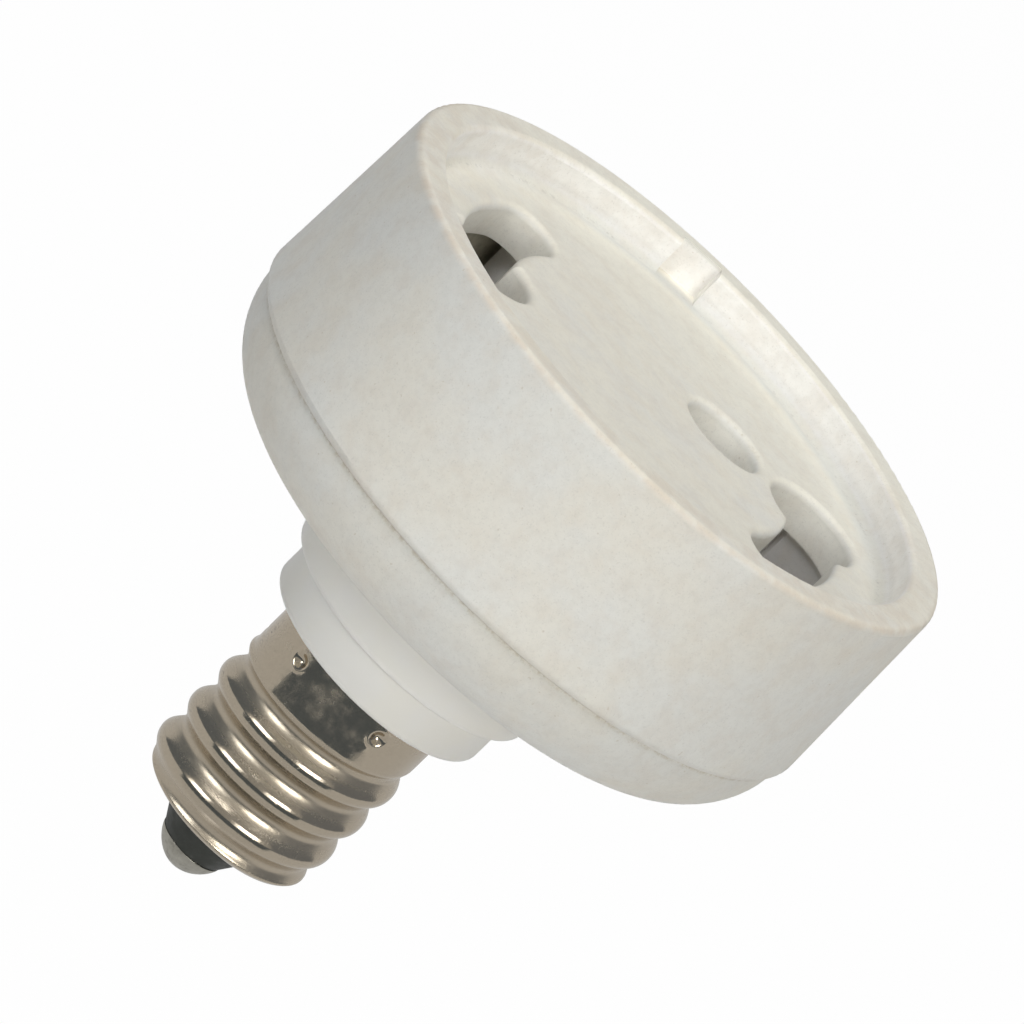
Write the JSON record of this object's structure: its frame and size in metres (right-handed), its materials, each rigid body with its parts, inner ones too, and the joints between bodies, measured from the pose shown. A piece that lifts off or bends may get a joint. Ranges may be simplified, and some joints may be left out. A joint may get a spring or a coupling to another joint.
{
  "type": "lamp socket adapter",
  "caption": "Round white adapter with a candelabra screw base at one end and a keyhole twist-lock lamp socket at the other.",
  "frame": {"origin": "tip of the centre contact, on the axis of the screw base, where it meets a lampholder's centre contact", "axes": "+Z along the screw's axis from the tip up to the socket rim, +X through the round entry hole of one keyhole"},
  "size_m": [0.0394, 0.0394, 0.0413],
  "materials": {
    "housing_moulding": "matt, fine speckle, heat-resistant moulding",
    "neck_moulding": "smooth satin white moulding",
    "nickel_shell": "bright nickel plate on brass, tarnished on the band",
    "black_insulator": "satin black",
    "tip_metal": "dull tinned",
    "spring_bronze": "dull bronze spring strip",
    "screw_steel": "zinc plated",
    "lead_insulation": "matt sleeving"
  },
  "bodies": {
    "root": {"socket_housing": "housing_moulding", "base_cover": "housing_moulding", "neck": "neck_moulding", "screw_shell": "nickel_shell", "tip_insulator": "black_insulator", "centre_contact": "tip_metal", "contact_spring_a": "spring_bronze", "contact_spring_b": "spring_bronze", "contact_screws": "screw_steel", "fixing_screw": "screw_steel", "lead_centre": "lead_insulation", "lead_shell": "lead_insulation"}
  },
  "joints": []
}
